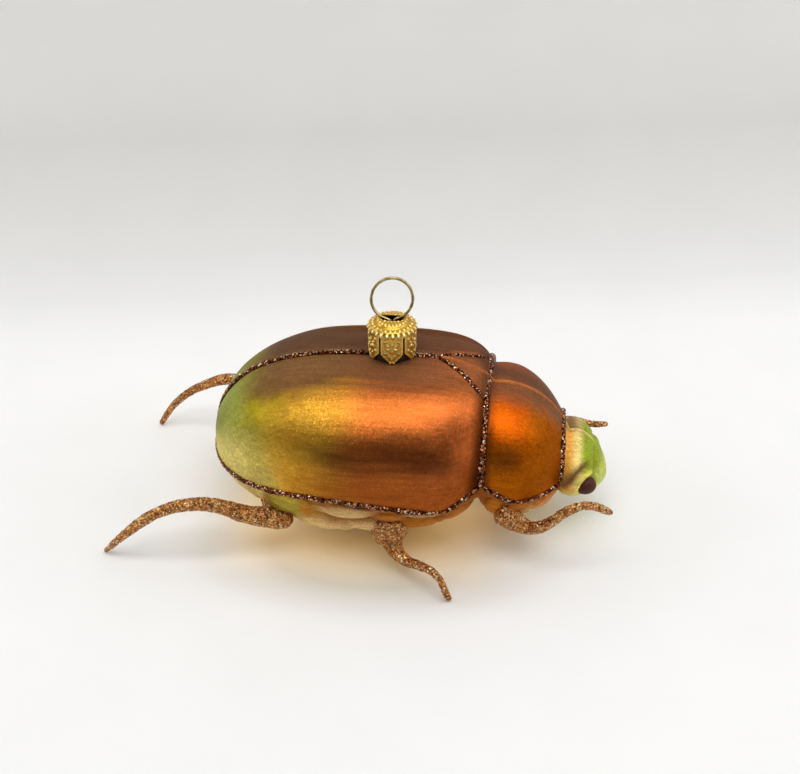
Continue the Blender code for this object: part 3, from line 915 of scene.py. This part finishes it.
def build_body(material):
    x, angle = body_grid()
    points = surface_points(x, angle)
    normals = surface_normals(x, angle)
    upper = smooth(-0.02, 0.02, np.sin(angle))
    below = smooth(1.2, -1.2, rise_of(angle) - np.degrees(margin_angle(x)))
    below = below * smooth(NECK_X + 1, NECK_X, x)
    relief = back_relief(x, points[..., 1], upper) + belly_relief(points, below)
    relief = relief + head_relief(points, upper) + 0.14 * noise_field(points, 9.0, 1.0)
    shaped = points + normals * relief[..., None]
    ends = [(end_x, 0, float(section_height(end_x))) for end_x in (TAIL_X, NOSE_X)]
    mesh = mesh_from_grid("glass_shell", shaped, ends)
    colour, lustre = paint_colours(points, x, angle, upper, below)
    add_attribute(mesh, "paint", colour)
    add_attribute(mesh, "lustre", lustre)
    add_piece("glass_shell", mesh, material, "painted_glass", "glass_body")


def build_eyes(material):
    turn, tilt = np.meshgrid(circle(64), np.linspace(-1.45, 1.45, 40))
    ball = np.stack([np.cos(tilt) * np.cos(turn), np.cos(tilt) * np.sin(turn), np.sin(tilt)], axis=-1)
    for side, sign in (("left", 1), ("right", -1)):
        centre = np.array((EYE_CENTRE[0], sign * EYE_CENTRE[1], EYE_CENTRE[2]))
        grid = centre + ball * EYE_RADIUS * np.array(EYE_STRETCH)
        ends = [centre - (0, 0, EYE_RADIUS), centre + (0, 0, EYE_RADIUS)]
        mesh = mesh_from_grid(f"eye_{side}", grid, ends)
        add_piece(f"eye_{side}", mesh, material, "painted_glass")


def build_neck_glass(material):
    """The glass stub that shows in the slots between the cap's tongues, dark as painted shade under the
    cap.
    """
    rows = []
    for radius, z in NECK_GLASS_PROFILE:
        rows.append([(CAP_X + radius * math.cos(a), radius * math.sin(a), z) for a in circle(64)])
    mesh = mesh_from_grid("shaded_neck_glass", np.array(rows))
    add_piece("shaded_neck_glass", mesh, material, "painted_glass")


# Legs and glitter lines

def sweep_frames(path):
    """Side and up direction at each point of a path, without twist."""
    tangents = unit(np.gradient(path, axis=0))
    side = np.cross(tangents[0], (0, 0, 1))
    sides = []
    for tangent in tangents:
        side = side - tangent * (side @ tangent)
        side = side / np.linalg.norm(side)
        sides.append(side)
    sides = np.array(sides)
    return sides, np.cross(sides, tangents)


def path_spokes(path, count):
    """Unit vectors all round each point of a path."""
    sides, ups = sweep_frames(path)
    turn = circle(count)
    return sides[:, None] * np.cos(turn)[None, :, None] + ups[:, None] * np.sin(turn)[None, :, None]


def build_leg(place_name, points, material, *nodes):
    """Wire in glitter paste: a lumpy, grainy sweep with round ends that stays above the floor."""
    sign = 1 if "left" in place_name else -1
    points = [(x, sign * y, z, diameter / 2) for x, y, z, diameter in points]
    path = smooth_path(points, 0.24)
    centres, radii = path[:, :3], path[:, 3]
    run = run_along(centres)
    for distance in (run, run[-1] - run):
        rounding = min(1.8, float(radii[0] if distance is run else radii[-1]))
        radii = radii * np.sqrt(np.clip(1 - (1 - np.clip(distance / rounding, 0.02, 1)) ** 2, 0.02, 1))
    spokes = path_spokes(centres, 40)
    grid = centres[:, None] + spokes * radii[:, None, None]
    lumps = 0.14 * noise_field(grid, 1.5, len(place_name)) + 0.16 * (grain_field(grid, 0.32) - 0.5)
    grid = grid + spokes * (lumps * np.minimum(1, radii / 0.8)[:, None])[..., None]
    grid[..., 2] = np.maximum(grid[..., 2], 0.02)
    mesh = mesh_from_grid(f"leg_paste_{place_name}", grid, [centres[0], centres[-1]])
    add_piece(f"leg_paste_{place_name}", mesh, material, "copper_glitter", *nodes)


def build_line(name, x, angle, material, node, width=1.35, height=0.5):
    """Glitter line laid on the glass along arrays of x and angle."""
    centres = surface_points(x, angle)
    ups = surface_normals(x, angle)
    sides = np.cross(unit(np.gradient(centres, axis=0)), ups)
    seed = float(len(name))
    wobble = noise_field(centres, 3.0, seed)
    swell = 1 + 0.22 * noise_field(centres, 1.6, seed + 3)
    run = run_along(centres)
    taper = np.sqrt(np.clip(np.minimum(run, run[-1] - run) / 0.8, 0.03, 1))
    taper = taper * (0.45 + 0.55 * smooth(TAIL_X, TAIL_X + 6, x))
    centres = centres + sides * (0.18 * wobble)[:, None]
    turn = circle(18)
    out = sides[:, None] * (width / 2 * np.cos(turn))[None, :, None]
    lift = np.where(np.sin(turn) > 0, height, 0.35) * np.sin(turn)
    out = out + ups[:, None] * lift[None, :, None]
    out = out * (swell * taper)[:, None, None]
    grid = centres[:, None] + out
    grains = 0.3 * (grain_field(grid, 0.4, seed) - 0.4)
    grid = grid + ups[:, None] * (grains * (np.sin(turn) > -0.1) * taper[:, None])[..., None]
    mesh = mesh_from_grid(name, grid, [centres[0], centres[-1]])
    add_piece(name, mesh, material, "dark_glitter", node)


def run_of(first, last, step=0.22):
    """Values from first to last, about a step apart."""
    return np.linspace(first, last, max(8, round(abs(last - first) / step)))


def build_lines(material):
    top = math.pi / 2
    seam = top - SEAM_Y / ABDOMEN["rise"][0]
    near_tail = TAIL_X + 1.2 * np.linspace(0.2, 1, 24) ** 2
    rear = np.concatenate([near_tail, run_of(TAIL_X + 1.4, CAP_X - 5.0)])
    front = run_of(CAP_X + 5.0, SHIELD_APEX_X)
    for end, x in (("rear", rear), ("front", front)):
        build_line(f"glitter_back_{end}", x, np.full(len(x), seam), material, f"back_seam_glitter_{end}")
    for side, sign in (("left", -1), ("right", 1)):
        x = run_of(SHIELD_APEX_X, SHIELD_END_X - 0.2)
        across = joint_y(x) - sign * shield_reach(x)
        angle = top - np.arcsin(across / reach(x, np.full(len(x), top)))
        build_line(f"glitter_shield_{side}", x, angle, material, f"shield_glitter_{side}", 1.1)
    waist = run_of(0.1, math.pi - 0.1, 0.008)
    build_line("glitter_waist", np.full(len(waist), WAIST_X), waist, material, "waist_glitter", 1.75, 0.7)
    neck = run_of(0.04, math.pi - 0.04, 0.014)
    build_line("glitter_neck", np.full(len(neck), NECK_X), neck, material, "neck_glitter", 1.4, 0.6)
    near_tail = TAIL_X + 3.0 * np.linspace(0.03, 1, 50) ** 2
    wing = np.concatenate([near_tail, run_of(TAIL_X + 3.2, WAIST_X - 0.3)])
    collar = run_of(WAIST_X + 0.4, NECK_X - 0.3)
    for side, sign in (("left", 1), ("right", -1)):
        for edge, x in (("wing", wing), ("collar", collar)):
            angle = top - sign * (top - margin_angle(x))
            build_line(f"glitter_{edge}_{side}", x, angle, material, f"{edge}_edge_glitter_{side}")


# Cap and ring

def cap_profile():
    """Radius and height of the cap's outside from the wire slot's edge to the tongues' tips."""
    path = smooth_path(CROWN_OUTLINE, 0.05)
    lengths = run_along(path)
    at = np.linspace(0, lengths[-1], CROWN_ROWS)
    crown = np.stack([np.interp(at, lengths, values) for values in path.T], axis=1)
    skirt_z = np.linspace(SHOULDER_Z, TONGUE_TIP, SKIRT_ROWS + 1)[1:]
    skirt = np.stack([np.full(len(skirt_z), CAP_RADIUS), skirt_z], axis=1)
    return np.concatenate([crown, skirt])


def slot_outline(angle):
    """Edge of the wire slot, a stadium along x, seen from its middle."""
    half, radius = (WIRE_SLOT_LENGTH - WIRE_SLOT_WIDTH) / 2, WIRE_SLOT_WIDTH / 2
    cosine, sine = np.cos(angle), np.sin(angle)
    flat = radius / np.maximum(np.abs(sine), 1e-6)
    inner = half * np.abs(cosine)
    root = np.sqrt(np.maximum(radius**2 - (half * sine) ** 2, 0))
    return np.where(flat * np.abs(cosine) < half, flat, inner + root)


def tongue_share(z):
    """Width of a tongue at a height, as a share of its full width: a point with a round tip."""
    climb = min(1.0, max(0.0, (z - TONGUE_TIP) / (TONGUE_SHOULDER - TONGUE_TIP)))
    tip = 0.24 * math.sqrt(min(1.0, climb / 0.2))
    return max(tip, min(1.0, 0.1 + 0.92 * climb))


def crown_normal(profile, row):
    """Direction out of the crown at a row of its profile, as a step outward and a step up."""
    before, after = profile[max(row - 1, 0)], profile[min(row + 1, len(profile) - 1)]
    outward, upward = unit(after - before).tolist()
    return -upward, outward


def beads(turn, count, phase=0.0, floor=0.2):
    """Row of round beads round the cap, from 0 to 1, for an angle or an array of them."""
    return np.clip(floor + (1 - floor) * np.cos(turn * count + phase), 0, 1)


def cap_relief(u, turn, z, radius, on_skirt):
    """Embossing: dotted rings on the boss, beads on the shoulder, a flower on each tongue. The
    value u goes from -1 to 1 across a tongue."""
    shoulder_beads = bump(z, SHOULDER_Z, 0.4) * beads(turn, SHOULDER_BEADS)
    if not on_skirt:
        boss_dots = bump(radius, 3.3, 0.2) * beads(turn, BOSS_DOTS, floor=0.3)
        inner_dots = bump(radius, 2.7, 0.2) * beads(turn, INNER_DOTS, floor=0.3)
        top_beads = bump(radius, 4.55, 0.26) * beads(turn, SHOULDER_BEADS, math.pi)
        return 0.2 * boss_dots + 0.2 * inner_dots + 0.3 * top_beads + 0.46 * shoulder_beads
    across, down = u * 2.6, z - EMBOSSING_MIDDLE_Z
    away, spoke = np.hypot(across, down), np.arctan2(down, across)
    petals = bump(away, 0.85, 0.42) * np.clip(np.cos(spoke * 6 + math.pi), 0, 1)
    corners = bump(np.abs(across), 1.55, 0.3) * (bump(down, 1.5, 0.3) + bump(down, -1.5, 0.3))
    lower_dots = bump(np.abs(across), 0.62, 0.24) * bump(down, -2.35, 0.24)
    lower_dots = lower_dots + bump(across, 0, 0.22) * bump(down, -3.0, 0.3)
    border = bump(np.abs(u), 0.93, 0.06)
    ribs = bump(np.abs(across), 2.05, 0.18) * (0.5 + 0.5 * np.sin(z * math.tau / 0.6))
    skirt = 0.34 * petals + 0.3 * corners + 0.28 * lower_dots + 0.18 * border + 0.14 * ribs
    return skirt + 0.46 * shoulder_beads


def cap_point(profile, row, u, middle):
    """Place of a point of the tongue whose middle is at an angle, and its embossed height."""
    radius, z = profile[row]
    half_slot = TONGUE_SLOT / 2 / CAP_RADIUS
    turn = middle + u * (math.pi / TONGUES - half_slot) * tongue_share(z)
    shaped = radius
    if radius < 3.7:
        inward = float(smooth(3.7, 2.0, radius))
        shaped = radius * (1 - inward) + float(slot_outline(turn)) * inward
    on_skirt = z < SHOULDER_Z - 0.01 and radius >= CAP_RADIUS - 0.01
    height = 0.0 if row == 0 else float(cap_relief(u, turn, z, radius, on_skirt))
    out, up = (1.0, 0.0) if on_skirt else crown_normal(profile, row)
    distance = shaped + height * out
    return (CAP_X + distance * math.cos(turn), distance * math.sin(turn), z + height * up), height


def cap_faces(profile):
    """Faces of each tongue, joined to the next tongue above the slot between them."""
    shape = (TONGUES, len(profile), TONGUE_COLUMNS + 1)
    index = np.arange(math.prod(shape)).reshape(shape)
    faces = []
    for sector in range(TONGUES):
        joined = np.hstack([index[sector], index[(sector + 1) % TONGUES, :, :1]]).tolist()
        for row in range(len(profile) - 1):
            above_slot = profile[row + 1][1] >= TONGUE_SLOT_TOP
            for column in range(TONGUE_COLUMNS + above_slot):
                upper, lower = joined[row], joined[row + 1]
                faces.append((upper[column], lower[column], lower[column + 1], upper[column + 1]))
    return faces


def build_cap(material):
    """Crown cap: one sheet whose lower part is split into pointed tongues, then thickened."""
    profile = cap_profile()
    points, heights = [], []
    for sector in range(TONGUES):
        middle = math.tau * (sector + 0.5) / TONGUES + CAP_TURN
        for row in range(len(profile)):
            for column in range(TONGUE_COLUMNS + 1):
                point, height = cap_point(profile, row, -1 + 2 * column / TONGUE_COLUMNS, middle)
                points.append(point)
                heights.append(height)
    mesh = new_mesh("embossed_cap", place(points), cap_faces(profile))
    add_attribute(mesh, "relief", np.clip(np.array(heights) / 0.3, 0, 1))
    cap = add_piece("embossed_cap", mesh, material, "gold_foil", "cap")
    wall = cap.modifiers.new("foil_thickness", "SOLIDIFY")
    wall.thickness = CAP_WALL * MM
    wall.offset = -1.0


def build_ring(material):
    """Springy wire: both ends go down through the slot and the loop leans back."""
    centre = RING_LIFT + RING_RADIUS
    loop = []
    for angle in np.linspace(-math.pi / 2 + RING_OPENING, 1.5 * math.pi - RING_OPENING, 40):
        squash = 1 + 0.012 * math.sin(2 * angle + 0.6)
        across = RING_RADIUS * squash * math.cos(angle)
        up = centre + RING_RADIUS * squash * math.sin(angle)
        loop.append((
            CAP_X + RING_SHIFT + across,
            up * math.sin(RING_LEAN),
            RING_PIVOT_Z + up * math.cos(RING_LEAN),
        ))
    start = [(CAP_X + across, 0, height) for across, height in WIRE_TAIL]
    end = [(CAP_X - across, 0, height) for across, height in reversed(WIRE_TAIL)]
    path = smooth_path(start + loop + end, 0.12)
    grid = path[:, None] + path_spokes(path, 24) * WIRE_RADIUS
    mesh = mesh_from_grid("spring_wire_ring", grid, [path[0], path[-1]])
    add_piece("spring_wire_ring", mesh, material, "brass_wire", "hanger_ring")


# Stage, lights and camera

def sweep_mesh():
    """A floor that curves up into a wall behind."""
    profile = [(-SWEEP_REACH, 0.0), (SWEEP_START, 0.0)]
    for i in range(1, 33):
        angle = math.pi / 2 * i / 32
        profile.append((SWEEP_START + SWEEP_BEND * math.sin(angle), SWEEP_BEND * (1 - math.cos(angle))))
    profile.append((SWEEP_START + SWEEP_BEND, SWEEP_HEIGHT))
    cosine, sine = math.cos(SWEEP_TURN), math.sin(SWEEP_TURN)
    points = []
    for y, z in profile:
        for x in (-SWEEP_REACH, SWEEP_REACH):
            points.append((x * cosine - y * sine, x * sine + y * cosine, z))
    faces = [(2 * i, 2 * i + 1, 2 * i + 3, 2 * i + 2) for i in range(len(profile) - 1)]
    return new_mesh("sweep", points, faces)


def paper_material():
    """White paper, shaded up the wall, with a painted amber shadow under the body, and bright of
    itself on the floor beyond the lamps' reach."""
    kit = NodeKit("white_paper")
    paper = kit.ramp(kit.noise(30.0, detail=4.0), ((0.3, (0.87, 0.87, 0.865)), (0.7, (0.89, 0.89, 0.885))))
    east, north, height = kit.add("SeparateXYZ", Vector=kit.position()).outputs
    rise = kit.math("DIVIDE", height, SHADE_HEIGHT / MM)
    paper = kit.shade(paper, 1.0, rise, *WALL_SHADES)
    middle_x, middle_y, half_length, half_width = AMBER_SHADOW
    spot = kit.vector("SUBTRACT", kit.position(), (middle_x, middle_y, 0.0))
    spot = kit.vector("DIVIDE", spot, (half_length, half_width, 1000.0))
    gradient = kit.add("TexGradient", Vector=spot)
    gradient.gradient_type = "QUADRATIC_SPHERE"
    paper = kit.shade(paper, 1.0, gradient.outputs["Fac"], *AMBER_STOPS)
    squares = kit.math("ADD", kit.math("MULTIPLY", east, east), kit.math("MULTIPLY", north, north))
    distance = kit.math("DIVIDE", kit.math("SQRT", squares), SWEEP_REACH / MM)
    far = kit.ramp(distance, ((0.14, (0, 0, 0)), (0.25, (0.9, 0.9, 0.89))))
    lit = kit.shade(far, 1.0, rise, (0.0, (1, 1, 1)), (0.02, (0, 0, 0)))
    return kit.finish(Base_Color=paper, Roughness=0.9, Emission_Color=lit, Emission_Strength=0.8)


def build_stage():
    mesh = sweep_mesh()
    mesh.materials.append(paper_material())
    sweep = new_object("sweep", mesh)


def build_lights():
    world = bpy.data.worlds.new("studio")
    bpy.context.scene.world = world
    world.use_nodes = True
    background = world.node_tree.nodes["Background"]
    background.inputs["Color"].default_value = SKY_COLOUR
    background.inputs["Strength"].default_value = SKY_STRENGTH
    for name, location, aim, size, power, colour in LAMPS:
        data = bpy.data.lights.new(name, "AREA")
        data.shape = "RECTANGLE"
        data.size, data.size_y = size
        data.energy = power
        data.color = colour
        lamp = new_object(name, data)
        lamp.location = location
        lamp.rotation_euler = (Vector(aim) - Vector(location)).to_track_quat("-Z", "Y").to_euler()


def build_camera():
    """Camera at the photograph's viewing angle, at CAMERA_HEIGHT and with CAMERA_AIM in its middle."""
    elevation, azimuth = math.radians(CAMERA_ELEVATION), math.radians(CAMERA_AZIMUTH)
    back = Vector((
        math.sin(azimuth) * math.cos(elevation),
        -math.cos(azimuth) * math.cos(elevation),
        math.sin(elevation),
    ))
    right = Vector((math.cos(azimuth), math.sin(azimuth), 0))
    up = back.cross(right)
    aim = Vector(place(CAMERA_AIM))
    data = bpy.data.cameras.new("camera")
    data.sensor_width = SENSOR_WIDTH
    data.lens = SENSOR_WIDTH * FOCAL_PIXELS / IMAGE_WIDTH
    data.clip_start = 0.01
    camera = new_object("camera", data)
    rotation = Matrix((right, up, back)).transposed()
    location = aim + back * (CAMERA_HEIGHT * MM / back.z)
    camera.matrix_world = Matrix.Translation(location) @ rotation.to_4x4()
    bpy.context.scene.camera = camera


build_camera()
build_stage()
build_lights()
bpy.context.scene.view_settings.view_transform = "Standard"
build_body(lacquer_material())
build_eyes(eye_material())
build_neck_glass(neck_shade_material())
copper = copper_glitter_material()
for leg_place, leg_points in LEGS.items():
    build_leg(leg_place, leg_points, copper, f"leg_{leg_place}")
for side in ("left", "right"):
    build_leg(f"peg_{side}", PEG, copper)
build_lines(dark_glitter_material())
build_cap(gold_material())
build_ring(wire_material())
